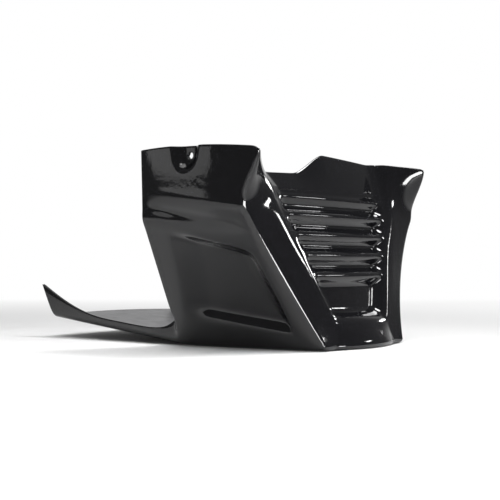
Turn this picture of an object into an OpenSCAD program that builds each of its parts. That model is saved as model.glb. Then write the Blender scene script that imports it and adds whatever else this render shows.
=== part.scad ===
// One-piece moulded belly pan for a motorcycle.
// +Z is up, the louvred front faces -Y and +X is the bike's left side.
// The origin is on the floor's underside, midway along the pan and across it.

/* [Side panels] */
// Height of a side panel at its rear edge
panel_h = 195; // [178:1:220]
// How much lower a panel is at its front crease
panel_fall = 6; // [0:0.5:16]
// Length of a side panel from the crease at the fold to its rear edge
panel_l = 128; // [110:1:150]
// Height of the fold at the front crease, above which a panel stands upright
fold_front_h = 134; // [115:1:142]
// Height of the fold at the rear edge of a panel
fold_rear_h = 127; // [115:1:150]
// Width of the pan across the rear edges of the panels, at the fold
panel_w = 304; // [270:1:330]
// How much narrower the pan is across the creases than across the rear edges
front_taper = 4; // [0:0.5:16]
// How much wider the panels stand at the top of their rear edges than at the fold
rear_flare = 4; // [0:0.5:12]
// How much narrower the creases are at the top than at the fold
crease_tuck = 4; // [0:0.5:12]
// How far the foot of the crease stands in front of the fold
crease_lean = 37; // [20:1:50]
// How much that lean is gathered near the foot, where 1 is a straight crease
crease_curve = 1.6; // [1:0.1:2]
// How far the crease is drawn in between the foot and the fold
crease_pinch = 4; // [0:0.5:8]
// How far the crease comes forward again from the fold to the top
crease_hook = 19; // [5:1:28]
// Radius of the corner at the top of the crease
crease_top_r = 6; // [2:0.5:8]
// How much higher the panel's styling lines run at the rear edge than at the crease
line_sweep = 32; // [10:1:36]
// How far a panel bulges outwards between its front and rear edges
panel_bulge = 4; // [0:0.5:10]
// How much a panel's top edge is crowned between its front and rear corners
panel_crown = 3; // [0:0.5:6]

/* [Waist line] */
// Depth of the soft line below the fold of a side panel
waist_depth = 2; // [0:0.25:3]
// Height of the middle of the line at the crease
waist_h = 116; // [104:0.5:118]
// Width of the line
waist_w = 18; // [10:0.5:20]

/* [Floor and tail] */
// Wall thickness of the moulding
wall = 3; // [2:0.1:4]
// Width of the floor across the front corners
floor_front_w = 140; // [120:1:170]
// Width of the floor at the rear edges of the panels and along the tail
floor_rear_w = 212; // [190:1:240]
// How far the chin bows forward of the front corners
chin_bow = 12; // [4:1:20]
// Radius of the edge between the floor and the walls
edge_r = 6.5; // [4:0.5:8]
// Length of the tail behind the panels, at its corners
tail_l = 195; // [150:1:240]
// How far the floor rises along the tail
tail_rise = 23; // [5:1:40]
// How far the rear edge of the tail bows out between its corners
tail_bow = 14; // [0:1:18]
// Height of the upstand along the tail
upstand_h = 9.5; // [9:0.5:16]
// Height of the fin tips above the tail's floor
fin_h = 38; // [20:1:50]
// How far the fin tips lean out behind the tail's corners
fin_rake = 21; // [16:1:30]

/* [Side pockets] */
// Depth of the sunken pocket in each side panel
pocket_depth = 7; // [2:0.5:8]
// Height of the pocket's lower edge at the crease
pocket_low_h = 15; // [14:1:24]
// Height of the pocket's upper edge at the crease
pocket_top_h = 83; // [70:1:88]
// Height of the bevel above the pocket's upper edge
pocket_bevel_h = 10; // [4:0.5:12]

/* [Louvred front] */
// Width across the vent recess, run down to the floor
vent_foot_w = 66; // [60:1:84]
// Width across the vent recess at the fold
vent_fold_w = 184; // [160:1:200]
// Width across the vent recess at the top
vent_top_w = 202; // [180:1:216]
// How far the front leans back from the floor to the top
vent_rake = 55; // [30:1:70]
// How far the front is hollowed back between the floor and the fold
vent_hollow = 3.5; // [0:0.5:8]
// How far the recess's side edges bow outwards between the floor and the fold
vent_swell = 2; // [0:0.5:6]
// How far the front bows forward between the edges of the recess
vent_bow = 5; // [0:1:8]
// Height of the recess's lower edge
sill_h = 29; // [24:1:34]
// Depth of the ledge round the louvres
ledge_depth = 4; // [2:0.5:6]
// Width of the rounded shoulder outside the recess, at the fold
shoulder_w = 8; // [5:0.5:10]
// How far the shoulder is rounded down at the recess's edge
shoulder_drop = 2; // [0:0.25:3]
// Depth of the channels between the louvres, below the ledge
louvre_depth = 8.5; // [4:0.5:10]
// Number of louvre lips
louvre_count = 5; // [2:1:5]
// Distance from one louvre lip to the next
louvre_pitch = 20; // [14:0.5:21]
// Height of the lowest louvre lip
lip_low_h = 72; // [66:1:74]
// Length of the rounded ends of the channels
channel_end_l = 12; // [8:1:16]
// Width of the sloping edge round the vent recess
ledge_w = 5; // [4:0.5:8]

/* [Top edge of the front] */
// Height of the front's top edge in the middle
front_h = 197.5; // [185:0.5:215]
// How much lower the top edge is at the sides of the vent
front_fall = 3.5; // [0:0.5:10]
// Depth of the gap for the exhaust pipe in the right of the top edge
pipe_gap_depth = 18; // [8:1:22]
// Distance from the centre to the near side of the pipe gap, at its top
pipe_gap_start = 2; // [0:1:30]
// Width of the slope into the pipe gap
pipe_gap_slope = 46; // [20:1:55]

/* [Fixings] */
// Radius of the bolt holes
bolt_r = 3.3; // [2.5:0.1:4.5]
// Radius of the seat round a bolt hole, at the bottom of its recess
seat_r = 8.5; // [7:0.5:11]
// Radius of a bolt recess at the panel's face, level with the bolt
recess_r = 14.5; // [13:0.5:18]
// Half the width of a bolt recess where it opens in the panel's top edge
recess_mouth = 17; // [15:0.5:20]
// Depth of a bolt recess
recess_depth = 8.5; // [6:0.5:12]
// Distance of a bolt's axis below the panel's top edge
bolt_drop = 8.5; // [8:0.5:12]
// Distance of a bolt's axis in front of the panel's rear edge
bolt_inset = 60; // [45:1:80]

/* [Hidden] */
paint = [0.06, 0.06, 0.065];
samples = 64;

// Stations along Y, measured from the chin and set about the middle of the pan
pan_l = chin_bow + crease_lean + panel_l + tail_l + fin_rake;
y_corner = chin_bow - pan_l / 2;
y_fold = y_corner + crease_lean;
y_rear = y_fold + panel_l;
y_tail = y_rear + tail_l;
// Where the floor starts to rise, and how steeply
y_lift = y_rear - 22;
tail_slope = tail_rise / (y_tail - y_lift);
// Where the middle of the chin's fan of grid lines starts on the floor
y_fan = y_corner + 40;
fan_l = 30;

// Sizes of a panel at its crease and at the top of its rear edge
panel_front_h = panel_h - panel_fall;
fold_front_w = panel_w - front_taper;
top_front_w = fold_front_w - crease_tuck;
top_rear_w = panel_w + rear_flare;

lip_top_h = lip_low_h + (louvre_count - 1) * louvre_pitch;
// A louvre drops from its lip to the root of the channel over this share of the pitch
root_share = 0.34;
// The plain area above the louvres starts this far above the top lip
above_lips = 8;
// Where the pocket's front bevel and rear slope begin and end, as shares of the way
// from the crease to the rear edge, along the pocket's top and along its bottom
pocket_top_u = [0.11, 0.25, 0.58, 0.82];
pocket_low_u = [0.15, 0.17, 0.72, 0.9];
// The front bevel is steep over this share of its width, down to this share of the depth
bevel_step = [0.4, 0.7];
// Height of the bevel at the pocket's lower edge
pocket_lip_h = 4;
// Height of the upstand's rim where it runs into the rear edge of a panel
rim_h = edge_r + 5.5;
// Width of the front corners beside the vent, at the floor
corner_w = 16;

function mix(a, b, t) = a + (b - a) * t;
function clamp(t) = max(0, min(1, t));
function ease(t) = let (c = clamp(t)) c * c * (3 - 2 * c);
function ramp(v, from, to) = ease((v - from) / (to - from));
function unit(v) = v / norm(v);

// Straight below the fold and straight above it, with the corner rounded off
function folded(h, foot, fold, top, fold_h, top_h) =
    let (below = mix(foot, fold, h / fold_h),
         above = mix(fold, top, (h - fold_h) / (top_h - fold_h)))
    mix(below, above, ramp(h, fold_h - 10, fold_h + 10));

// Outlines of the front crease, the rear edge and the recess's edge, by height
function crease(h) =
    let (up = min(1, h / fold_front_h))
    [folded(h, floor_front_w, fold_front_w, top_front_w, fold_front_h, panel_front_h) / 2
         - crease_pinch * sin(180 * up),
     y_fold - crease_lean * pow(1 - up, crease_curve)
         - crease_hook * ramp(h, fold_front_h + 3, panel_front_h)];
function rear_edge(h) = [
    folded(max(h, rim_h), floor_rear_w - 18, panel_w, top_rear_w, fold_rear_h, panel_h) / 2,
    y_rear];
function rear_h(h) =
    h * panel_h / panel_front_h
    + line_sweep * sin(180 * sqrt(clamp((h - edge_r) / (panel_front_h - edge_r))));
function vent_edge(h) =
    let (t = h / panel_front_h, middle = sin(180 * min(1, h / fold_front_h)),
         side = folded(h, vent_foot_w, vent_fold_w, vent_top_w, fold_front_h, panel_front_h) / 2
             + vent_swell * middle)
    [h < sill_h ? mix(crease(0)[0] - corner_w, side, h / sill_h) : side,
     y_corner + vent_rake * (t + t * t) / 2 + vent_hollow * middle];

// Depth of the channels at a height, from 0 on a lip to 1 at a root
function channel_depth(h) =
    h > lip_top_h ? 0.5 * sin(90 * clamp((h - lip_top_h) / 4))
        * (1 - 0.4 * ramp(h, lip_top_h + 4, lip_top_h + above_lips))
    : h < lip_low_h ? ramp(lip_low_h - h, 0, root_share * louvre_pitch) * ramp(h, sill_h + 2, sill_h + 11)
    : let (t = (lip_top_h - h) / louvre_pitch, f = t - floor(t + 0.001),
           to_lip = f < root_share ? f / root_share : (1 - f) / (1 - root_share))
      (1 - cos(180 * clamp(to_lip))) / 2;
// How far the surface is rounded down at the recess's edge, and at a distance outside it
function edge_drop(h) = shoulder_drop * ramp(h, sill_h, fold_front_h);
function shoulder(outside, h) = edge_drop(h) * pow(clamp(1 - outside / shoulder_w), 2);
// Depth of the vent recess, at a distance inwards from its edge
function recess(inside, h) =
    let (ledge = mix(edge_drop(h), ledge_depth * ramp(h, sill_h - 3, sill_h + 3), clamp(inside / ledge_w)),
         to_end = 1 - clamp((inside - ledge_w - 1) / channel_end_l))
    ledge + louvre_depth * sqrt(1 - to_end * to_end) * channel_depth(h);

// Where a bolt sits on its panel
top_l = panel_l + crease_hook;
bolt_y = y_rear - bolt_inset;
bolt_u = 1 - bolt_inset / top_l;
bolt_x = panel_point(bolt_u, panel_front_h)[0];
bolt_z = panel_point(bolt_u, panel_front_h)[2] - bolt_drop;

// Depth of the bolt recess, which narrows to the bolt's seat and opens in the top edge
function bolt_recess(y, z) =
    let (dy = abs(y - bolt_y), dz = bolt_z - z,
         out = dz > 0 ? norm([dy, dz]) : dy,
         edge = dz > 0 ? recess_r : mix(recess_r, recess_mouth, clamp(-dz / bolt_drop)))
    recess_depth * clamp((edge - out) / (edge - seat_r));

// The panel's grid lines follow the sides of the pocket below its upper edge: this is
// where the line that leaves the top edge at a share runs at a height
function panel_u(share, h) =
    let (sides = [for (k = [0 : 3]) [pocket_top_u[k], pocket_low_u[k]]],
         down = 1 - clamp((h - pocket_low_h) / (pocket_top_h - pocket_low_h)))
    mix(share, lookup(share, concat([[0, 0]], sides, [[1, 1]])), down * down);
// Depth of the side pocket on the grid line with a share
function pocket(share, h) =
    pocket_depth
    * lookup((share - pocket_top_u[0]) / (pocket_top_u[1] - pocket_top_u[0]), [[0, 0], bevel_step, [1, 1]])
    * (1 - ramp(share, pocket_top_u[2], pocket_top_u[3]))
    * clamp((pocket_top_h + pocket_bevel_h - h) / pocket_bevel_h)
    * clamp((h - pocket_low_h) / pocket_lip_h);
// Depth of the waist line, which fades out towards both ends of the panel
function waist(u, h) =
    waist_depth * (1 + cos(180 * clamp(abs(h - waist_h) / (waist_w / 2)))) / 2
    * ramp(u, 0.02, 0.14) * (1 - ramp(u, 0.78, 0.98));

// Top edge of the front, with the gap for the exhaust pipe on the right
function front_top(x, side) =
    let (across = x / (vent_top_w / 2),
         gap = side > 0 ? 0 : pipe_gap_depth * mix(clamp((x - pipe_gap_start) / pipe_gap_slope),
             ramp(x, pipe_gap_start, pipe_gap_start + pipe_gap_slope), 0.4))
    front_h - front_fall * across - gap;

// Height of the upstand's rim above the tail's floor
function tail_t(y) = (y - y_rear) / tail_l;
function rim_over_floor(y) =
    upstand_h
    + (rear_h(rim_h) - upstand_h) * exp(-(y - y_rear) / 14)
    + (fin_h - upstand_h) * pow(clamp((tail_t(y) - 0.5) / 0.5), 2.6);
function floor_z(y) = let (d = y - y_lift) d < 0 ? 0 : tail_slope * d * d / (d + 12);

// Grid columns, from the middle of the front round to the rear of the tail.
// Those at the end of the channels keep their distance from the recess's edge.
channel_zone = ledge_w + 1 + channel_end_l;
end_distances = concat(
    [for (a = [90, 66, 44, 22, 0]) ledge_w + 1 + channel_end_l * (1 - cos(a))], [ledge_w, ledge_w / 2, 0]);
strip_shares = [0.06, 0.13, 0.4, 0.7, 0.95, 1];
bolt_columns = [for (d = [-recess_mouth, -(recess_mouth + seat_r) / 2, -seat_r, -seat_r / 2, 0,
    seat_r / 2, seat_r, (recess_mouth + seat_r) / 2, recess_mouth]) bolt_u + d / top_l];
panel_shares = concat([0.02, 0.05],
    [for (t = [0, bevel_step[0], 1]) mix(pocket_top_u[0], pocket_top_u[1], t)],
    [mix(pocket_top_u[1], bolt_columns[0], 0.5)], bolt_columns,
    [mix(bolt_columns[8], 1, 0.35), mix(bolt_columns[8], 1, 0.7), 1]);
tail_shares = [0.05, 0.12, 0.22, 0.36, 0.52, 0.66, 0.78, 0.87, 0.94, 1];
columns = concat(
    [for (t = [0, 0.2, 0.4, 0.6, 0.8]) ["vent", t]], [for (d = end_distances) ["end", d]],
    [for (t = strip_shares) ["strip", t]],
    [for (t = panel_shares) ["panel", t]], [for (t = tail_shares) ["tail", t]]);
last_col = len(columns) - 1;
panel_col = last_col - len(tail_shares);
crease_col = panel_col - len(panel_shares);
vent_col = crease_col - len(strip_shares);

// Grid rows, from the middle of the floor up to the top edge
floor_shares = [0, 0.35, 0.7, 1];
top_shares = [0.3, 0.65, 1];
edge_row = len(floor_shares);
rim_row = edge_row + 2;
vent_heights = concat(
    [edge_r, rim_h, 18, sill_h - 3, sill_h, sill_h + 3, sill_h + 11],
    [mix(sill_h + 11, lip_low_h - root_share * louvre_pitch, 0.5)],
    [for (f = [1, 0.75, 0.5, 0.25]) lip_low_h - f * root_share * louvre_pitch],
    [for (k = [0 : louvre_count - 2], f = [0, 0.22, 0.45, 1 - root_share, 0.83])
        lip_low_h + (k + f) * louvre_pitch],
    [lip_top_h, lip_top_h + 4, lip_top_h + above_lips],
    [for (t = top_shares) mix(lip_top_h + above_lips, panel_front_h, t)]);
last_row = edge_row + len(vent_heights);
top_row = last_row - len(top_shares);
// The side panels have rows of their own, on the edges of the pocket and round the fold
pocket_row = edge_row + 4 + floor(0.28 * (last_row - edge_row));
bolt_row = last_row - 6;
third = (bolt_row - pocket_row - 2) / 3;
waist_row = pocket_row + 1 + floor(third);
fold_row = pocket_row + 1 + floor(2 * third);
// Rows are closer together at the bolt than at the crease by this factor
row_pitch = 1.18;
bolt_foot_h = panel_front_h - row_pitch * (bolt_drop + recess_r);
function row_h(j) = lookup(j, [
    [edge_row + 1, edge_r], [rim_row, rim_h],
    [rim_row + 1, max(rim_h + 1, pocket_low_h)], [rim_row + 2, max(rim_h + 1, pocket_low_h) + pocket_lip_h],
    [pocket_row, pocket_top_h], [pocket_row + 1, pocket_top_h + pocket_bevel_h],
    [waist_row, waist_h - waist_w / 2], [fold_row, waist_h + waist_w / 2],
    [bolt_row - 1, min(fold_front_h + 14, bolt_foot_h - 2)], [bolt_row, bolt_foot_h],
    [last_row - 3, panel_front_h - row_pitch * (bolt_drop + seat_r)], [last_row, panel_front_h]]);
function vent_h(j) = vent_heights[j - edge_row - 1];

// Points of the wall before it is sunk, for the +X side
function vent_x(col, h) =
    let (e = vent_edge(h)[0])
    col[0] == "end" ? e - col[1] : col[1] * (e - channel_zone);
function vent_y(x, h) =
    let (e = vent_edge(h), bow = mix(chin_bow, vent_bow, ramp(h, 0, sill_h)))
    e[1] - bow * (1 - pow(x / e[0], 2));
function vent_point(col, h, side, top_share) =
    let (x = vent_x(col, h))
    [x, vent_y(x, h), top_share == 0 ? h : mix(lip_top_h + above_lips, front_top(x, side), top_share)];
function crease_point(h) = [crease(h)[0], crease(h)[1], h];
function panel_point(u, h) =
    let (c = crease(h), r = rear_edge(rear_h(h)), swell = 4 * u * (1 - u),
         z = mix(h, rear_h(h), u) + panel_crown * swell * ramp(h, fold_front_h, panel_front_h))
    [mix(c[0], r[0], u) + panel_bulge * swell, mix(c[1], r[1], u), z];
function tail_point(t, up) =
    [rear_edge(0)[0] + 2 * up * ramp(t, 0, 0.2), y_rear + tail_l * t + fin_rake * up * pow(t, 6)];

// The foot of the wall, where the rounded edge starts, and the way into the floor from it
function inward(col) =
    col[0] == "strip" ? [-col[1], 1]
    : col[0] == "panel" ? [-1, 1 - clamp(col[1] / 0.12)]
    : col[0] == "tail" ? [-1, 0] : [0, 1];
function foot_edge(col) =
    let (e = vent_edge(0), c = crease(0))
    col[0] == "tail" ? tail_point(col[1], 0)
    : col[0] == "panel" ? [for (k = [0, 1]) panel_point(panel_u(col[1], 0), 0)[k]]
    : col[0] == "strip" ? e + (c - e) * col[1]
    : [vent_x(col, 0), vent_y(vent_x(col, 0), 0)];
function middle_y(i) =
    let (col = columns[i])
    col[0] == "tail" ? mix(y_rear, y_tail + tail_bow, col[1])
    : col[0] == "panel" ? mix(y_fan + fan_l, y_rear, col[1])
    : y_fan + fan_l * i / crease_col;
function floor_point(i, share) =
    let (col = columns[i], foot = foot_edge(col) + edge_r * inward(col), x = foot[0] * share,
         y = col[0] == "tail" ? foot[1] + tail_bow * col[1] * (1 - share * share)
             : mix(middle_y(i), foot[1], share))
    [x, y, floor_z(y)];
function edge_point(i) =
    let (col = columns[i], q = foot_edge(col) + edge_r * (1 - sin(45)) * inward(col))
    [q[0], q[1], floor_z(q[1]) + edge_r * (1 - cos(45))];

// One point of the wall's or floor's base surface, for the +X side or its mirror image
function wall_point(i, j, side) =
    let (col = columns[i], top_share = j > top_row ? top_shares[j - top_row - 1] : 0,
         e = vent_point(["end", 0], vent_h(j), side, top_share))
    col[0] == "tail" ?
        let (q = tail_point(col[1], j == rim_row ? 1 : 0.3), y = y_rear + tail_l * col[1],
             rim = rim_over_floor(y))
        [q[0], q[1], floor_z(y) + (j == rim_row ? rim : min(edge_r, 0.68 * rim))]
    : col[0] == "panel" ?
        let (h = row_h(j), p = panel_point(panel_u(col[1], h), h))
        p + [0, 0, floor_z(p[1]) * (1 - clamp(h / 20))]
    : col[0] == "strip" ? e + (crease_point(row_h(j)) - e) * col[1]
    : vent_point(col, vent_h(j), side, top_share);
function base_point(i, j, side) =
    let (p = j < edge_row ? floor_point(i, floor_shares[j])
             : j == edge_row ? edge_point(i) : wall_point(i, j, side),
         from_crease = norm(p - crease_point(panel_front_h)),
         corner = 1 - clamp(from_crease / crease_top_r),
         drop = j == last_row ? crease_top_r * (1 - sqrt(1 - corner * corner)) : 0)
    [side * p[0], p[1], p[2] - drop];

// How deep the finished surface lies behind the base surface
function sunk_panel(col, h, p) = pocket(col[1], h) + waist(panel_u(col[1], h), h) + bolt_recess(p[1], p[2]);
function sunk(i, j) =
    let (col = columns[abs(i)])
    j <= edge_row ? 0
    : col[0] == "vent" ? recess(channel_zone, vent_h(j))
    : col[0] == "end" ? recess(col[1], vent_h(j))
    : col[0] == "strip" ? shoulder(norm(at(i, j) - at(sign(i) * vent_col, j)), vent_h(j))
    : col[0] == "panel" ? sunk_panel(col, row_h(j), at(i, j)) : 0;

function rows_in(i) = abs(i) > panel_col ? rim_row : last_row;
function is_on_grid(i, j) = abs(i) <= last_col && j <= rows_in(i);
cols_signed = [for (i = [-last_col : last_col]) i];
grid = [for (i = cols_signed) [for (j = [0 : rows_in(i)]) base_point(abs(i), j, i < 0 ? -1 : 1)]];
// Rows below the middle of the floor are those of the other side
function at(i, j) = j < 0 ? grid[last_col - i][-j] : grid[last_col + i][j];
function along(i, j) = at(is_on_grid(i + 1, j) ? i + 1 : i, j) - at(is_on_grid(i - 1, j) ? i - 1 : i, j);
function upward(i, j) = at(i, is_on_grid(i, j + 1) ? j + 1 : j) - at(i, j - 1);
function outward(i, j) = i == 0 && j == 0 ? [0, 0, -1] : unit(cross(along(i, j), upward(i, j)));
function skin_point(i, j, depth) = at(i, j) - (sunk(i, j) + depth) * outward(i, j);

// The points of one skin: the middle of the floor once, then every column's own rows
col_start = [for (k = 0, n = last_col + 1; k <= 2 * last_col; n = n + rows_in(cols_signed[k]), k = k + 1) n];
points_per_skin = last_col + 1 + 2 * (last_col - panel_col) * rim_row + (2 * panel_col + 1) * last_row;
function skin(depth) = concat(
    [for (i = [0 : last_col]) skin_point(i, 0, depth)],
    [for (i = cols_signed, j = [1 : rows_in(i)]) skin_point(i, j, depth)]);
function index(i, j) = j == 0 ? abs(i) : col_start[i + last_col] + j - 1;

// Cells of the grid, each split into two triangles, the same way on both sides
cells = [for (i = [-last_col : last_col - 1], j = [0 : min(rows_in(i), rows_in(i + 1)) - 1]) [i, j]];
function two(a, b, c, d) =
    [for (f = [[a, b, c], [a, c, d]]) if (f[0] != f[1] && f[1] != f[2] && f[2] != f[0]) f];
function cell_faces(a, b, c, d, mirrored) = mirrored ? two(b, c, d, a) : two(a, b, c, d);
outer_faces = [for (c = cells, i = c[0], j = c[1])
    each cell_faces(index(i, j), index(i, j + 1), index(i + 1, j + 1), index(i + 1, j), i < 0)];
inner_faces = [for (f = outer_faces) [for (k = [0, 2, 1]) f[k] + points_per_skin]];
// The free edge, from the middle of the tail up, round the top and down again
rim = concat(
    [for (j = [0 : rim_row]) [last_col, j]],
    [for (i = [last_col - 1 : -1 : panel_col]) [i, rim_row]],
    [for (j = [rim_row + 1 : last_row]) [panel_col, j]],
    [for (i = [panel_col - 1 : -1 : -panel_col]) [i, last_row]],
    [for (j = [last_row - 1 : -1 : rim_row]) [-panel_col, j]],
    [for (i = [-panel_col - 1 : -1 : -last_col]) [i, rim_row]],
    [for (j = [rim_row - 1 : -1 : 1]) [-last_col, j]]);
rim_faces = [for (k = [0 : len(rim) - 1])
    let (a = index(rim[k][0], rim[k][1]), n = rim[(k + 1) % len(rim)], b = index(n[0], n[1]))
    each two(a, b, b + points_per_skin, a + points_per_skin)];

module shell() {
    polyhedron(concat(skin(0), skin(wall)), concat(outer_faces, inner_faces, rim_faces), convexity = 12);
}

module bolt_holes() {
    through = wall + 3;
    for (side = [-1, 1])
        translate([side * (bolt_x - recess_depth - wall / 2) - through / 2, bolt_y, bolt_z])
            rotate([0, 90, 0]) cylinder(h = through, r = bolt_r, $fn = samples);
}

module belly_pan() {
    color(paint) difference() {
        shell();
        bolt_holes();
    }
}

belly_pan();
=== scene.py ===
"""Gloss black motorcycle belly pan: one thick moulded skin, floor, light and camera.

Sizes of the pan are in millimetres and follow the solid's, but for a rounder shoulder and
rounder front creases; its mesh is scaled to metres at the end.
"""
import math

import bpy
import numpy as np
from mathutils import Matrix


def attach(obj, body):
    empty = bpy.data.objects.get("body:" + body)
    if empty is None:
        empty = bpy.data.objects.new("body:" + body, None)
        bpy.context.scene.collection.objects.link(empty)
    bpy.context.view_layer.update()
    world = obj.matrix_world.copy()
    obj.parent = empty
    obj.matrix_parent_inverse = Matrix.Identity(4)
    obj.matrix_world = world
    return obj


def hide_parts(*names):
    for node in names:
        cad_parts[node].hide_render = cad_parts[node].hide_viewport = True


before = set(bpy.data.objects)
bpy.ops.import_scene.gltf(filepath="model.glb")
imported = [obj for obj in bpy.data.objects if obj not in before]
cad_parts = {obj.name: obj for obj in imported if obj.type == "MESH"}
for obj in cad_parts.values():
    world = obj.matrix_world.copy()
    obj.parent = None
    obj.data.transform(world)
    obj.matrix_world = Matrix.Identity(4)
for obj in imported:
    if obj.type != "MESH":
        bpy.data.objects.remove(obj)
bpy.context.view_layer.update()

# Side panels
PANEL_H = 195.0
PANEL_FRONT_H = PANEL_H - 6.0
PANEL_L = 128.0
FOLD_FRONT_H = 134.0
FOLD_REAR_H = 127.0
PANEL_W = 304.0
FOLD_FRONT_W = PANEL_W - 4.0
TOP_FRONT_W = FOLD_FRONT_W - 4.0
TOP_REAR_W = PANEL_W + 4.0
CREASE_LEAN = 37.0
CREASE_CURVE = 1.6
CREASE_PINCH = 4.0
CREASE_HOOK = 19.0
CREASE_TOP_R = 6.0
LINE_SWEEP = 32.0
PANEL_BULGE = 4.0
PANEL_CROWN = 3.0
WAIST_DEPTH = 2.0
WAIST_H = 116.0
WAIST_W = 18.0

# Floor and tail
WALL = 3.0
FLOOR_FRONT_W = 140.0
FLOOR_REAR_W = 212.0
CHIN_BOW = 12.0
EDGE_R = 6.5
TAIL_L = 195.0
TAIL_RISE = 23.0
TAIL_BOW = 14.0
UPSTAND_H = 9.5
FIN_H = 38.0
FIN_RAKE = 21.0

# Side pockets
POCKET_DEPTH = 7.0
POCKET_LOW_H = 15.0
POCKET_TOP_H = 83.0
POCKET_BEVEL_H = 10.0
POCKET_LIP_H = 4.0
# Where the front bevel and the rear slope begin and end between crease and rear edge
POCKET_TOP_U = (0.11, 0.25, 0.58, 0.82)
POCKET_LOW_U = (0.15, 0.17, 0.72, 0.9)
# The front bevel is steep over this share of its width, down to this share of the depth
BEVEL_STEP = (0.4, 0.7)

# Louvred front
VENT_FOOT_W = 66.0
VENT_FOLD_W = 184.0
VENT_TOP_W = 202.0
CORNER_W = 16.0
VENT_RAKE = 55.0
VENT_HOLLOW = 3.5
VENT_SWELL = 2.0
VENT_BOW = 5.0
SILL_H = 29.0
LEDGE_DEPTH = 4.0
LEDGE_W = 5.0
# The shoulder is wider and deeper than the solid's, as its highlight in the photo shows
SHOULDER_W = 14.0
SHOULDER_DROP = 3.0
LOUVRE_DEPTH = 8.5
LOUVRE_COUNT = 5
LOUVRE_PITCH = 20.0
LIP_LOW_H = 72.0
CHANNEL_END_L = 12.0
ROOT_SHARE = 0.34
ABOVE_LIPS = 8.0
FRONT_H = 197.5
FRONT_FALL = 3.5
PIPE_GAP_DEPTH = 18.0
PIPE_GAP_START = 2.0
PIPE_GAP_SLOPE = 46.0

# Fixings
BOLT_R = 3.3
SEAT_R = 8.5
RECESS_R = 14.5
RECESS_MOUTH = 17.0
RECESS_DEPTH = 8.5
BOLT_DROP = 8.5
BOLT_INSET = 60.0

# Half the height over which the fold is rounded off
FOLD_SOFT = 10.0
# The crease's hook starts this far above the fold
HOOK_START = 3.0
# How much narrower than the floor the panels' rear edges would run into it
FOOT_TUCK = 18.0
# The panels' feet follow the floor's rise up to this height
FOOT_BLEND_H = 20.0
# The floor starts to rise this far in front of the panels' rear edges, over this length
LIFT_LEAD = 22.0
LIFT_SOFT = 12.0
# The rear edge runs down into the upstand's rim over about this length
REAR_CORNER_L = 14.0
# The fin starts at this share of the tail and rises with this power
FIN_START = 0.5
FIN_CURVE = 2.6
# How far the upstand leans out, from this share of the tail on
UPSTAND_FLARE = 2.0
FLARE_SHARE = 0.2
# The upstand's wall starts at this share of its lean, at most at this share of its height
UPSTAND_FOOT = 0.3
UPSTAND_FOOT_H = 0.68
# Distance between the ledge and the channels' ends
CHANNEL_GAP = 1.0
# The recess's lower edge is rounded over this height each way; the channel below it
# deepens between these heights above it
SILL_SOFT = 3.0
SILL_SLOPE = (2.0, 11.0)
# Depth of the half channel above the top lip, its height, and the share by which it fades
TOP_CHANNEL = (0.5, 4.0, 0.4)
# The waist line's start, full depth, fading and end, from crease to rear edge
WAIST_U = (0.02, 0.14, 0.78, 0.98)
# How much of the pipe gap's slope is eased
PIPE_GAP_EASE = 0.4
# The floor's grid turns from the front to the side over this share of a panel
FLOOR_TURN = 0.12

PAN_L = CHIN_BOW + CREASE_LEAN + PANEL_L + TAIL_L + FIN_RAKE
Y_CORNER = CHIN_BOW - PAN_L / 2
Y_FOLD = Y_CORNER + CREASE_LEAN
Y_REAR = Y_FOLD + PANEL_L
Y_TAIL = Y_REAR + TAIL_L
Y_LIFT = Y_REAR - LIFT_LEAD
TAIL_SLOPE = TAIL_RISE / (Y_TAIL - Y_LIFT)
# The chin's fan of grid lines starts here on the floor and is this long
Y_FAN = Y_CORNER + 40.0
FAN_L = 30.0
LIP_TOP_H = LIP_LOW_H + (LOUVRE_COUNT - 1) * LOUVRE_PITCH
RIM_H = EDGE_R + 5.5
TOP_L = PANEL_L + CREASE_HOOK
CHANNEL_ZONE = LEDGE_W + CHANNEL_GAP + CHANNEL_END_L

# How finely the skin is meshed
STEP = 1.75
EDGE_STEPS = 6
FLOOR_STEPS = 12
LOW_STEPS = 4
STRIP_RUN = 52.0
PANEL_RUN = 155.0
SMOOTHING = 3
# The rim's section is half an ellipse this high against half the wall, at these angles
RIM_ROUND = 0.6
RIM_TURNS = (35, 90, 145)
# The front creases are rounded by this many more passes, over this width
CREASE_ROLL = 9
CREASE_ROLL_W = 14.0


def mix(a, b, t):
    return a + (b - a) * t


def clamp(t):
    return np.clip(t, 0.0, 1.0)


def ramp(v, start, end):
    c = clamp((v - start) / (end - start))
    return c * c * (3 - 2 * c)


def folded(h, foot, fold, top, fold_h, top_h):
    below = mix(foot, fold, h / fold_h)
    above = mix(fold, top, (h - fold_h) / (top_h - fold_h))
    return mix(below, above, ramp(h, fold_h - FOLD_SOFT, fold_h + FOLD_SOFT))


def points(x, y, z):
    return np.stack(np.broadcast_arrays(x, y, z), axis=-1).astype(float)


# Outlines by height


def below_fold(h):
    """1 halfway between the floor and the fold, and 0 at both and above."""
    return np.sin(math.pi * np.minimum(1, h / FOLD_FRONT_H))


def crease(h):
    up = np.minimum(1, h / FOLD_FRONT_H)
    x = (folded(h, FLOOR_FRONT_W, FOLD_FRONT_W, TOP_FRONT_W, FOLD_FRONT_H, PANEL_FRONT_H) / 2
         - CREASE_PINCH * below_fold(h))
    y = (Y_FOLD - CREASE_LEAN * (1 - up) ** CREASE_CURVE
         - CREASE_HOOK * ramp(h, FOLD_FRONT_H + HOOK_START, PANEL_FRONT_H))
    return points(x, y, h)


def rear_x(h):
    return folded(np.maximum(h, RIM_H), FLOOR_REAR_W - FOOT_TUCK, PANEL_W, TOP_REAR_W,
                  FOLD_REAR_H, PANEL_H) / 2


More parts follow.
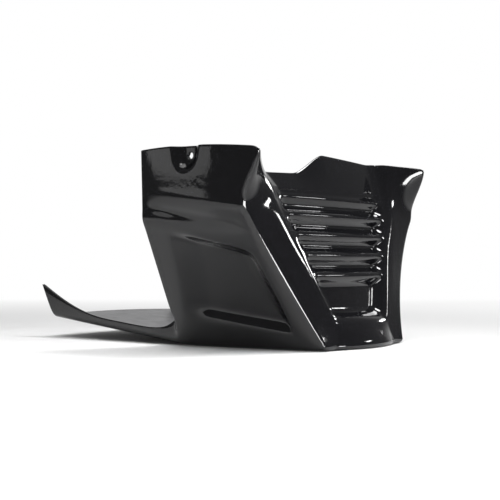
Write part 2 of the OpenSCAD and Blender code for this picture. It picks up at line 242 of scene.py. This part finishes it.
def rear_h(h):
    rise = np.sqrt(clamp((h - EDGE_R) / (PANEL_FRONT_H - EDGE_R)))
    return h * PANEL_H / PANEL_FRONT_H + LINE_SWEEP * np.sin(math.pi * rise)


def vent_edge_x(h):
    side = (folded(h, VENT_FOOT_W, VENT_FOLD_W, VENT_TOP_W, FOLD_FRONT_H, PANEL_FRONT_H) / 2
            + VENT_SWELL * below_fold(h))
    return np.where(h < SILL_H, mix(FLOOR_FRONT_W / 2 - CORNER_W, side, h / SILL_H), side)


def front_y(x, h):
    t = h / PANEL_FRONT_H
    bow = mix(CHIN_BOW, VENT_BOW, ramp(h, 0, SILL_H))
    edge = Y_CORNER + VENT_RAKE * (t + t * t) / 2 + VENT_HOLLOW * below_fold(h)
    return edge - bow * (1 - (x / vent_edge_x(h)) ** 2)


def front_top(x, side):
    """Height of the front's top edge; side is -1 on the right, which has the pipe gap."""
    across = x / (VENT_TOP_W / 2)
    slope = clamp((x - PIPE_GAP_START) / PIPE_GAP_SLOPE)
    eased = ramp(x, PIPE_GAP_START, PIPE_GAP_START + PIPE_GAP_SLOPE)
    gap = PIPE_GAP_DEPTH * mix(slope, eased, PIPE_GAP_EASE) if side < 0 else 0.0
    return FRONT_H - FRONT_FALL * across - gap


def floor_z(y):
    d = np.maximum(y - Y_LIFT, 0)
    return TAIL_SLOPE * d * d / (d + LIFT_SOFT)


def rim_over_floor(y):
    t = (y - Y_REAR) / TAIL_L
    return (UPSTAND_H + (rear_h(RIM_H) - UPSTAND_H) * np.exp(-(y - Y_REAR) / REAR_CORNER_L)
            + (FIN_H - UPSTAND_H) * clamp((t - FIN_START) / (1 - FIN_START)) ** FIN_CURVE)


def panel_point(u, h):
    """The plain panel, from the crease at u = 0 to the rear edge at 1."""
    c, swell = crease(h), 4 * u * (1 - u)
    x = mix(c[..., 0], rear_x(rear_h(h)), u) + PANEL_BULGE * swell
    y = mix(c[..., 1], Y_REAR, u)
    z = mix(h, rear_h(h), u) + PANEL_CROWN * swell * ramp(h, FOLD_FRONT_H, PANEL_FRONT_H)
    return points(x, y, z + floor_z(y) * (1 - clamp(h / FOOT_BLEND_H)))


def tail_point(t, up):
    """The tail's side at a share of its length, from its foot at up = 0 to its rim at 1."""
    x = rear_x(0.0) + UPSTAND_FLARE * up * ramp(t, 0, FLARE_SHARE)
    return points(x, Y_REAR + TAIL_L * t + FIN_RAKE * up * t**6, 0 * t)


BOLT_U = 1 - BOLT_INSET / TOP_L
BOLT_Y = Y_REAR - BOLT_INSET
BOLT_X, _, PANEL_TOP = panel_point(BOLT_U, PANEL_FRONT_H)
BOLT_Z = PANEL_TOP - BOLT_DROP

# Sunken forms: how deep each point lies behind the plain wall


def channel_depth(h):
    """Depth of the channels at a height, from 0 on a lip to 1 at a root."""
    t = (LIP_TOP_H - h) / LOUVRE_PITCH
    f = t - np.floor(t + 0.001)
    to_lip = np.where(f < ROOT_SHARE, f / ROOT_SHARE, (1 - f) / (1 - ROOT_SHARE))
    between = (1 - np.cos(math.pi * clamp(to_lip))) / 2
    depth, rise, fade = TOP_CHANNEL
    above = (depth * np.sin(math.pi / 2 * clamp((h - LIP_TOP_H) / rise))
             * (1 - fade * ramp(h, LIP_TOP_H + rise, LIP_TOP_H + ABOVE_LIPS)))
    below = (ramp(LIP_LOW_H - h, 0, ROOT_SHARE * LOUVRE_PITCH)
             * ramp(h, SILL_H + SILL_SLOPE[0], SILL_H + SILL_SLOPE[1]))
    return np.where(h > LIP_TOP_H, above, np.where(h < LIP_LOW_H, below, between))


def edge_drop(h):
    return SHOULDER_DROP * ramp(h, SILL_H, FOLD_FRONT_H)


def shoulder(outside, h):
    return edge_drop(h) * clamp(1 - outside / SHOULDER_W) ** 2


def recess(inside, h):
    """Depth of the vent recess, at a distance inwards from its edge."""
    sill = LEDGE_DEPTH * ramp(h, SILL_H - SILL_SOFT, SILL_H + SILL_SOFT)
    ledge = mix(edge_drop(h), sill, clamp(inside / LEDGE_W))
    to_end = 1 - clamp((inside - LEDGE_W - CHANNEL_GAP) / CHANNEL_END_L)
    return ledge + LOUVRE_DEPTH * np.sqrt(1 - to_end**2) * channel_depth(h)


def panel_u(share, h):
    """Where the grid line with a share at the top runs: along the sides of the pocket."""
    down = 1 - clamp((h - POCKET_LOW_H) / (POCKET_TOP_H - POCKET_LOW_H))
    low = np.interp(share, (0,) + POCKET_TOP_U + (1,), (0,) + POCKET_LOW_U + (1,))
    return mix(share, low, down**2)


def pocket(share, h):
    outer_u, inner_u, rear_u, end_u = POCKET_TOP_U
    bevel = np.interp((share - outer_u) / (inner_u - outer_u),
                      (0, BEVEL_STEP[0], 1), (0, BEVEL_STEP[1], 1))
    return (POCKET_DEPTH * bevel
            * (1 - ramp(share, rear_u, end_u))
            * clamp((POCKET_TOP_H + POCKET_BEVEL_H - h) / POCKET_BEVEL_H)
            * clamp((h - POCKET_LOW_H) / POCKET_LIP_H))


def waist(u, h):
    across = clamp(np.abs(h - WAIST_H) / (WAIST_W / 2))
    start, full, fading, end = WAIST_U
    return (WAIST_DEPTH * (1 + np.cos(math.pi * across)) / 2
            * ramp(u, start, full) * (1 - ramp(u, fading, end)))


def bolt_recess(y, z):
    dy, dz = np.abs(y - BOLT_Y), BOLT_Z - z
    out = np.where(dz > 0, np.hypot(dy, dz), dy)
    edge = np.where(dz > 0, RECESS_R, mix(RECESS_R, RECESS_MOUTH, clamp(-dz / BOLT_DROP)))
    return RECESS_DEPTH * clamp((edge - out) / (edge - SEAT_R))


# The grid: columns from the middle of the front round to the tail, rows from the keel up


def spaced(length):
    """Even shares of a length, about a step apart."""
    return np.linspace(0, 1, max(2, int(round(length / STEP)) + 1))


vent_mid = spaced(VENT_FOLD_W / 2 - CHANNEL_ZONE)
vent_end = spaced(CHANNEL_ZONE)[1:]
vent_scale = np.concatenate([vent_mid, np.ones(len(vent_end))])[:, None]
vent_shift = np.concatenate([0 * vent_mid, CHANNEL_ZONE * vent_end])[:, None]
strip_share = spaced(STRIP_RUN)[1:, None]
panel_share = spaced(PANEL_RUN)[1:, None]
tail_share = spaced(TAIL_L)[1:, None]
N_VENT, N_STRIP, N_PANEL, N_TAIL = (
    len(shares) for shares in (vent_scale, strip_share, panel_share, tail_share))
CREASE_COL = N_VENT + N_STRIP
PANEL_COL = CREASE_COL + N_PANEL - 1
LAST_COL = PANEL_COL + N_TAIL

floor_share = np.linspace(0, 1, FLOOR_STEPS)
edge_t = np.linspace(0, 1, EDGE_STEPS + 1)[1:-1]
low_h = np.linspace(EDGE_R, RIM_H, LOW_STEPS)
vent_rise = LIP_TOP_H + ABOVE_LIPS - RIM_H
vent_h = np.concatenate([low_h, RIM_H + vent_rise * spaced(vent_rise)[1:]])
top_share = spaced(PANEL_FRONT_H - LIP_TOP_H - ABOVE_LIPS)[1:]
wall_h = np.concatenate([vent_h, mix(vent_h[-1], PANEL_FRONT_H, top_share)])
N_WALL = len(wall_h)
panel_h = np.concatenate([low_h, np.linspace(RIM_H, PANEL_FRONT_H, N_WALL - len(low_h) + 1)[1:]])
N_LOW = len(floor_share) + len(edge_t)
RIM_ROW = N_LOW + len(low_h) - 1
LAST_ROW = N_LOW + N_WALL - 1


def vent_wall(scale, shift, side):
    """Points [column, row] of the front wall, and their depth in the recess."""
    h = wall_h[None, :]
    up = np.concatenate([0 * vent_h, top_share])[None, :]
    x = scale * (vent_edge_x(h) - CHANNEL_ZONE) + shift
    z = np.where(up > 0, mix(vent_h[-1], front_top(x, side), up), h)
    return points(x, front_y(x, h), z), recess(vent_edge_x(h) - x, h)


def half_skin(side):
    """The base surface of one side, [column, row, xyz], and how deep its points are sunk."""
    base = np.zeros((LAST_COL + 1, LAST_ROW + 1, 3))
    sunk = np.zeros((LAST_COL + 1, LAST_ROW + 1))
    wall = slice(N_LOW, LAST_ROW + 1)

    base[:N_VENT, wall], sunk[:N_VENT, wall] = vent_wall(vent_scale, vent_shift, side)
    edge = vent_wall(np.ones((1, 1)), np.full((1, 1), CHANNEL_ZONE), side)[0]
    strip = mix(edge, crease(panel_h)[None], strip_share[..., None])
    base[N_VENT:CREASE_COL, wall] = strip
    sunk[N_VENT:CREASE_COL, wall] = shoulder(np.linalg.norm(strip - edge, axis=-1), wall_h)
    h = panel_h[None, :]
    u = panel_u(panel_share, h)
    panel = panel_point(u, h)
    base[CREASE_COL:PANEL_COL + 1, wall] = panel
    sunk[CREASE_COL:PANEL_COL + 1, wall] = (
        pocket(panel_share, h) + waist(u, h) + bolt_recess(panel[..., 1], panel[..., 2]))

    # The rounded corner at the top of the crease
    from_crease = np.linalg.norm(base[:, -1] - base[CREASE_COL - 1, -1], axis=-1)
    corner = clamp(1 - from_crease / CREASE_TOP_R)[:, None]
    drop = CREASE_TOP_R * (1 - np.sqrt(1 - corner**2))
    base[:, wall, 2] -= drop * clamp(1 - (PANEL_FRONT_H - panel_h) / (2 * CREASE_TOP_R))

    # The tail's upstand has only the low rows
    t = tail_share
    rows = np.linspace(UPSTAND_FOOT, 1, len(low_h))[None, :]
    up = tail_point(t, rows)
    y = Y_REAR + TAIL_L * t
    rim = rim_over_floor(y)
    foot_z = np.minimum(EDGE_R, UPSTAND_FOOT_H * rim)
    up[..., 2] = floor_z(y) + mix(foot_z, rim, (rows - UPSTAND_FOOT) / (1 - UPSTAND_FOOT))
    base[PANEL_COL + 1:, N_LOW:RIM_ROW + 1] = up

    # The foot of the wall and the direction from it into the floor
    foot = np.zeros((LAST_COL + 1, 3))
    inward = np.zeros((LAST_COL + 1, 3))
    x = (vent_scale * (vent_edge_x(0.0) - CHANNEL_ZONE) + vent_shift)[:, 0]
    foot[:N_VENT] = points(x, front_y(x, 0.0), 0)
    inward[:N_VENT] = [0, 1, 0]
    s = strip_share[:, 0]
    corner = crease(np.zeros(1))[0]
    foot[N_VENT:CREASE_COL] = mix(foot[N_VENT - 1], corner, strip_share)
    inward[N_VENT:CREASE_COL] = points(-s, 1, 0)
    share = panel_share[:, 0]
    foot[CREASE_COL:PANEL_COL + 1] = panel_point(panel_u(share, 0.0), np.zeros(1)) * [1, 1, 0]
    inward[CREASE_COL:PANEL_COL + 1] = points(-1, 1 - clamp(share / FLOOR_TURN), 0)
    foot[PANEL_COL + 1:] = tail_point(tail_share[:, 0], 0.0)
    inward[PANEL_COL + 1:] = [-1, 0, 0]

    # Floor rows run from the keel to where the rounded edge starts
    start = foot + EDGE_R * inward
    column = np.arange(LAST_COL + 1)
    keel_y = np.where(column < CREASE_COL, Y_FAN + FAN_L * column / CREASE_COL, 0.0)
    keel_y[CREASE_COL:PANEL_COL + 1] = mix(Y_FAN + FAN_L, Y_REAR, share)
    keel_y[PANEL_COL + 1:] = mix(Y_REAR, Y_TAIL + TAIL_BOW, tail_share[:, 0])
    across = floor_share[None, :]
    bow = np.zeros(LAST_COL + 1)
    bow[PANEL_COL + 1:] = TAIL_BOW * tail_share[:, 0]
    fx = start[:, None, 0] * across
    fy = np.where(column[:, None] > PANEL_COL,
                  start[:, None, 1] + bow[:, None] * (1 - across**2),
                  mix(keel_y[:, None], start[:, None, 1], across))
    base[:, :len(floor_share)] = points(fx, fy, floor_z(fy))

    # The rounded edge: a curve tangent to the floor and to the wall above it
    start[:, 2] = floor_z(start[:, 1])
    foot[:, 2] = floor_z(foot[:, 1])
    for k, e in enumerate(edge_t):
        base[:, len(floor_share) + k] = (
            (1 - e) ** 2 * start + 2 * e * (1 - e) * foot + e * e * base[:, N_LOW])
    return base, sunk


def joined(minus, plus):
    """Both halves as one grid, columns from the -X tail to the +X tail."""
    return np.concatenate([minus[:0:-1], plus])


left, left_sunk = half_skin(1)
right, right_sunk = half_skin(-1)
right = right * [-1, 1, 1]
grid = joined(right, left)
sunk = joined(right_sunk, left_sunk)
n_cols, n_rows = grid.shape[:2]
signed = np.arange(n_cols) - LAST_COL
on_grid = (np.abs(signed)[:, None] <= PANEL_COL) | (np.arange(n_rows)[None, :] <= RIM_ROW)


def neighbours(a, axis):
    """The points before and after each one, and where both are on the grid."""
    before, after = np.roll(a, 1, axis), np.roll(a, -1, axis)
    ok_before, ok_after = np.roll(on_grid, 1, axis), np.roll(on_grid, -1, axis)
    first, last = [slice(None)] * 2, [slice(None)] * 2
    first[axis], last[axis] = 0, -1
    ok_before[tuple(first)] = False
    ok_after[tuple(last)] = False
    return before, after, ok_before & on_grid, ok_after & on_grid


def slope(a, axis):
    """From the point before each one to the point after it."""
    before, after, has_before, has_after = neighbours(a, axis)
    ahead = np.where(has_after[..., None], after, a)
    behind = np.where(has_before[..., None], before, a)
    return ahead - behind


def normals(a):
    along, upward = slope(a, 0), slope(a, 1)
    # Across the keel, row 0 of one side continues in row 1 of the other
    upward[:, 0] = a[:, 1] - a[::-1, 1]
    n = np.cross(along, upward)
    n[LAST_COL, 0] = [0, 0, -1]
    length = np.linalg.norm(n, axis=-1, keepdims=True)
    n = n / np.maximum(length, 1e-9)
    n[~on_grid] = 0
    return n


def smoothed(a, times, rows_from, axes=(0, 1), weight=1.0):
    """Moves each point halfway to the middle of its neighbours, so many times over."""
    for _ in range(times):
        for axis in axes:
            before, after, has_before, has_after = neighbours(a, axis)
            both = (has_before & has_after)[..., None]
            both[:, :rows_from] = False
            a = np.where(both, a + 0.25 * weight * (before + after - 2 * a), a)
    return a


outer = grid - sunk[..., None] * normals(grid)
outer = smoothed(outer, SMOOTHING, len(floor_share))
from_crease = np.abs(np.abs(signed) - CREASE_COL + 1) * STEP
crease_weight = clamp(1.5 - 1.5 * from_crease / CREASE_ROLL_W)[:, None, None]
outer = smoothed(outer, CREASE_ROLL, N_LOW, (0,), crease_weight)
skin_normal = normals(outer)
for _ in range(2):
    skin_normal = smoothed(skin_normal, 2, 0)
    skin_normal /= np.maximum(np.linalg.norm(skin_normal, axis=-1, keepdims=True), 1e-9)
inner = outer - WALL * skin_normal


def skin_index():
    """Vertex number of each grid point; both sides share the keel's."""
    index = np.full((n_cols, n_rows), -1)
    index[:, 0] = np.abs(signed)
    count = LAST_COL + 1
    for i in range(n_cols):
        for j in range(1, n_rows):
            if on_grid[i, j]:
                index[i, j] = count
                count += 1
    return index, count


index, skin_count = skin_index()


def skin_vertices(a):
    v = np.zeros((skin_count, 3))
    v[index[on_grid]] = a[on_grid]
    return v


def skin_quads():
    a, b, c, d = index[:-1, :-1], index[:-1, 1:], index[1:, 1:], index[1:, :-1]
    keep = (a >= 0) & (b >= 0) & (c >= 0) & (d >= 0)
    return np.stack([a[keep], b[keep], c[keep], d[keep]], axis=-1)


def rim_cells():
    """The free edge in order: up the tail's end, round the top and down again."""
    up = [(LAST_COL, j) for j in range(0, RIM_ROW + 1)]
    up += [(i, RIM_ROW) for i in range(LAST_COL - 1, PANEL_COL - 1, -1)]
    up += [(PANEL_COL, j) for j in range(RIM_ROW + 1, LAST_ROW + 1)]
    top = [(i, LAST_ROW) for i in range(PANEL_COL - 1, -PANEL_COL, -1)]
    down = [(-i, j) for i, j in up[:0:-1]]
    return up + top + down


def pan_mesh():
    """The outer skin, the inner skin, and a rounded rim that joins their free edges."""
    cells = rim_cells()
    at = tuple(np.array([(i + LAST_COL, j) for i, j in cells]).T)
    rim_index = index[at]
    edge_out, edge_in = outer[at], inner[at]
    middle, across = (edge_out + edge_in) / 2, (edge_out - edge_in) / 2
    run = np.roll(edge_out, -1, 0) - np.roll(edge_out, 1, 0)
    outward = np.cross(across, run)
    outward /= np.maximum(np.linalg.norm(outward, axis=1, keepdims=True), 1e-9)
    loops = [rim_index]
    vertices = [skin_vertices(outer), skin_vertices(inner)]
    count = 2 * skin_count
    for turn in RIM_TURNS:
        a = math.radians(turn)
        vertices.append(middle + across * math.cos(a)
                        - outward * (WALL / 2) * RIM_ROUND * math.sin(a))
        loops.append(np.arange(count, count + len(cells)))
        count += len(cells)
    loops.append(rim_index + skin_count)

    quads = skin_quads()
    faces = [tuple(dict.fromkeys(q)) for q in quads.tolist()]
    faces += [tuple(dict.fromkeys(q)) for q in (quads[:, ::-1] + skin_count).tolist()]
    for low, high in zip(loops, loops[1:]):
        nl, nh = np.roll(low, -1), np.roll(high, -1)
        faces += [tuple(q) for q in np.stack([low, nl, nh, high], axis=-1).tolist()]
    faces = [f for f in faces if len(f) > 2]
    mesh = bpy.data.meshes.new("belly_pan_skin")
    vertices = np.concatenate(vertices) / 1000
    mesh.from_pydata(vertices.tolist(), [], faces)
    mesh.update()
    mesh.validate()
    # Where a vertex is on the inside of the moulding, which is duller
    inside = mesh.attributes.new("inside", "FLOAT", "POINT")
    flags = np.zeros(len(vertices))
    flags[skin_count:2 * skin_count] = 1
    inside.data.foreach_set("value", flags)
    return mesh


def drill(piece):
    """Cuts the bolt hole of each side through its seat."""
    seat_x = BOLT_X - RECESS_DEPTH - WALL / 2
    for side in (-1, 1):
        bpy.ops.mesh.primitive_cylinder_add(
            vertices=64, radius=BOLT_R / 1000, depth=(WALL + 3) / 1000,
            location=(side * seat_x / 1000, BOLT_Y / 1000, BOLT_Z / 1000),
            rotation=(0, math.pi / 2, 0))
        drill_bit = bpy.context.object
        cut = piece.modifiers.new("bolt", "BOOLEAN")
        cut.operation = "DIFFERENCE"
        cut.solver = "EXACT"
        cut.object = drill_bit
        bpy.context.view_layer.objects.active = piece
        bpy.ops.object.modifier_apply(modifier=cut.name)
        bpy.data.objects.remove(drill_bit, do_unlink=True)


# Materials

# The camera looks along this direction, turned from +Y in degrees
VIEW_AZIMUTH = -50.26
FORWARD = (-math.sin(math.radians(VIEW_AZIMUTH)), math.cos(math.radians(VIEW_AZIMUTH)), 0.0)

BLACK = (0.004, 0.004, 0.005, 1)
INSIDE_BLACK = (0.020, 0.020, 0.024, 1)
FLOOR_PALE = (0.86, 0.86, 0.86, 1)
# The studio's level on its dim sides, and the cosines of the angles from the view at which
# it starts to turn pale and is white
DIM_LEVEL = 0.16
PALE_FROM = 0.62
WHITE_FROM = 0.93
# The floor's far side is judged from this far in front of the pan, in metres
VIEWER_BACK_M = 0.9


def node_material(name):
    material = bpy.data.materials.new(name)
    material.use_nodes = True
    tree = material.node_tree
    return material, tree, tree.nodes["Principled BSDF"]


def noise(tree, scale, detail, roughness=0.5):
    node = tree.nodes.new("ShaderNodeTexNoise")
    node.inputs["Scale"].default_value = scale
    node.inputs["Detail"].default_value = detail
    node.inputs["Roughness"].default_value = roughness
    coords = tree.nodes.new("ShaderNodeTexCoord")
    tree.links.new(coords.outputs["Object"], node.inputs["Vector"])
    return node.outputs["Fac"]


def mapped(tree, value, low, high, to_low, to_high):
    node = tree.nodes.new("ShaderNodeMapRange")
    limits = {"From Min": low, "From Max": high, "To Min": to_low, "To Max": to_high}
    for name, number in limits.items():
        node.inputs[name].default_value = number
    tree.links.new(value, node.inputs["Value"])
    return node.outputs["Result"]


def math_node(tree, operation, a, b):
    node = tree.nodes.new("ShaderNodeMath")
    node.operation = operation
    for socket, value in zip(node.inputs, (a, b)):
        if isinstance(value, (int, float)):
            socket.default_value = value
        else:
            tree.links.new(value, socket)
    return node.outputs["Value"]


def gloss_black():
    """Gloss black plastic: a soft ripple, faint handling marks, a duller inside."""
    material, tree, shader = node_material("gloss_black_moulding")
    inside = tree.nodes.new("ShaderNodeAttribute")
    inside.attribute_name = "inside"
    colour = tree.nodes.new("ShaderNodeMix")
    colour.data_type = "RGBA"
    colour.inputs["A"].default_value = BLACK
    colour.inputs["B"].default_value = INSIDE_BLACK
    tree.links.new(inside.outputs["Fac"], colour.inputs["Factor"])
    tree.links.new(colour.outputs["Result"], shader.inputs["Base Color"])
    marks = noise(tree, scale=70, detail=6, roughness=0.65)
    marks = mapped(tree, marks, 0.40, 0.70, 0.04, 0.10)
    dull = mapped(tree, inside.outputs["Fac"], 0, 1, 0.0, 0.30)
    tree.links.new(math_node(tree, "ADD", marks, dull), shader.inputs["Roughness"])
    shader.inputs["IOR"].default_value = 1.5
    bump = tree.nodes.new("ShaderNodeBump")
    bump.inputs["Strength"].default_value = 0.035
    bump.inputs["Distance"].default_value = 0.002
    tree.links.new(noise(tree, scale=130, detail=2), bump.inputs["Height"])
    tree.links.new(bump.outputs["Normal"], shader.inputs["Normal"])
    return material


def vector_node(tree, operation, a, b=(0, 0, 0)):
    node = tree.nodes.new("ShaderNodeVectorMath")
    node.operation = operation
    tree.links.new(a, node.inputs[0])
    node.inputs[1].default_value = b
    return node.outputs["Value" if operation in ("DOT_PRODUCT", "LENGTH") else "Vector"]


def surroundings(tree, direction):
    """How pale the studio is in a direction: white behind the pan, dim on the other sides."""
    along = vector_node(tree, "DOT_PRODUCT", vector_node(tree, "NORMALIZE", direction), FORWARD)
    level = mapped(tree, along, PALE_FROM, WHITE_FROM, DIM_LEVEL, 1.0)
    level.node.interpolation_type = "SMOOTHSTEP"
    return level


def pale_floor():
    """A pale floor that takes the pan's shadow and runs into the surroundings far off."""
    material, tree, shader = node_material("pale_floor")
    shader.inputs["Base Color"].default_value = FLOOR_PALE
    shader.inputs["Roughness"].default_value = 0.9
    place = tree.nodes.new("ShaderNodeTexCoord").outputs["Object"]
    behind = vector_node(tree, "DOT_PRODUCT", place, FORWARD)
    away = vector_node(tree, "LENGTH", place)
    far_off = math_node(tree, "MAXIMUM", mapped(tree, behind, 0.2, 1.2, 0.0, 1.0),
                        mapped(tree, away, 0.9, 3.2, 0.0, 1.0))
    rays = tree.nodes.new("ShaderNodeLightPath")
    seen = rays.outputs["Is Camera Ray"]
    for kind in ("Is Glossy Ray", "Is Transmission Ray"):
        seen = math_node(tree, "MAXIMUM", seen, rays.outputs[kind])
    glow = tree.nodes.new("ShaderNodeEmission")
    blend = tree.nodes.new("ShaderNodeMixShader")
    from_camera = vector_node(tree, "ADD", place, [VIEWER_BACK_M * c for c in FORWARD])
    tree.links.new(surroundings(tree, from_camera), glow.inputs["Color"])
    tree.links.new(math_node(tree, "MULTIPLY", far_off, seen), blend.inputs[0])
    tree.links.new(shader.outputs["BSDF"], blend.inputs[1])
    tree.links.new(glow.outputs["Emission"], blend.inputs[2])
    tree.links.new(blend.outputs["Shader"], tree.nodes["Material Output"].inputs["Surface"])
    return material


# Stage, light and camera

FLOOR_HALF_M = 60.0

def lay_floor(material):
    mesh = bpy.data.meshes.new("floor")
    signs = ((-1, -1), (1, -1), (1, 1), (-1, 1))
    corners = [(FLOOR_HALF_M * x, FLOOR_HALF_M * y, 0) for x, y in signs]
    mesh.from_pydata(corners, [], [(0, 1, 2, 3)])
    mesh.materials.append(material)
    stage = bpy.data.objects.new("floor", mesh)
    bpy.context.scene.collection.objects.link(stage)


def area_light(name, azimuth, elevation, distance, size, power,
               target=(0.0, -0.1, 0.1), spread=180):
    """A soft box seen from the target in a direction, in degrees, and facing it."""
    data = bpy.data.lights.new(name, "AREA")
    data.shape = "RECTANGLE"
    data.size, data.size_y = size
    data.energy = power
    data.spread = math.radians(spread)
    lamp = bpy.data.objects.new(name, data)
    bpy.context.scene.collection.objects.link(lamp)
    az, el = math.radians(azimuth), math.radians(elevation)
    way = np.array([math.cos(el) * math.cos(az), math.cos(el) * math.sin(az), math.sin(el)])
    lamp.location = np.array(target) + distance * way
    lamp.rotation_euler = (math.pi / 2 - el, 0, az + math.pi / 2)


# The photo's camera is level and low, with the horizon a little below the middle
CAMERA_M = (-0.8394, -0.7289, 0.0849)
FOCAL_PX = 994.3
HORIZON_PX = 262.6
PHOTO_PX = 500


def camera():
    data = bpy.data.cameras.new("camera")
    data.sensor_width = 36
    data.lens = 36 * FOCAL_PX / PHOTO_PX
    data.shift_y = (HORIZON_PX - PHOTO_PX / 2) / PHOTO_PX
    data.clip_start = 0.01
    eye = bpy.data.objects.new("camera", data)
    bpy.context.scene.collection.objects.link(eye)
    eye.location = CAMERA_M
    eye.rotation_euler = (math.pi / 2, 0, math.radians(VIEW_AZIMUTH))
    bpy.context.scene.camera = eye


def light_world():
    scene_world = bpy.data.worlds.new("studio")
    bpy.context.scene.world = scene_world
    scene_world.use_nodes = True
    tree = scene_world.node_tree
    direction = tree.nodes.new("ShaderNodeTexCoord").outputs["Generated"]
    tree.links.new(surroundings(tree, direction), tree.nodes["Background"].inputs["Color"])
    tree.nodes["Background"].inputs["Strength"].default_value = 1.0


def make_pan():
    mesh = pan_mesh()
    mesh.materials.append(gloss_black())
    piece = bpy.data.objects.new("belly_pan_moulding", mesh)
    bpy.context.scene.collection.objects.link(piece)
    drill(piece)
    for polygon in piece.data.polygons:
        polygon.use_smooth = True
    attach(piece, "root")
    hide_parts("belly_pan")


camera()
make_pan()
lay_floor(pale_floor())
light_world()
area_light("ceiling", 41, 88, 3.5, (3.0, 3.0), 72)
# Soft boxes for the long highlights on the fold, the crease and the shoulder
area_light("top_box", -36, 60, 1.7, (0.5, 0.5), 1.0, target=(-0.15, -0.05, 0.0), spread=40)
area_light("crease_box", -95, 2, 1.3, (0.8, 0.16), 10)
area_light("shoulder_box_left", -41.8, 17.8, 1.3, (0.20, 0.075), 1.2)
area_light("shoulder_box_right", -5, 15.3, 1.3, (0.28, 0.11), 2.2)
area_light("rear_left_box", 140, 10, 1.6, (0.5, 0.2), 0.33)
# Pools of light on the floor, which the side panel and the front reflect
area_light("left_floor_box", 150, 85, 1.3, (0.5, 0.5), 1.5,
           target=(-0.90, 0.33, 0.0), spread=50)
area_light("front_floor_box", -139, 85, 1.3, (0.5, 0.5), 2.0,
           target=(-0.48, -0.48, 0.0), spread=50)

bpy.context.scene.view_settings.view_transform = "Standard"
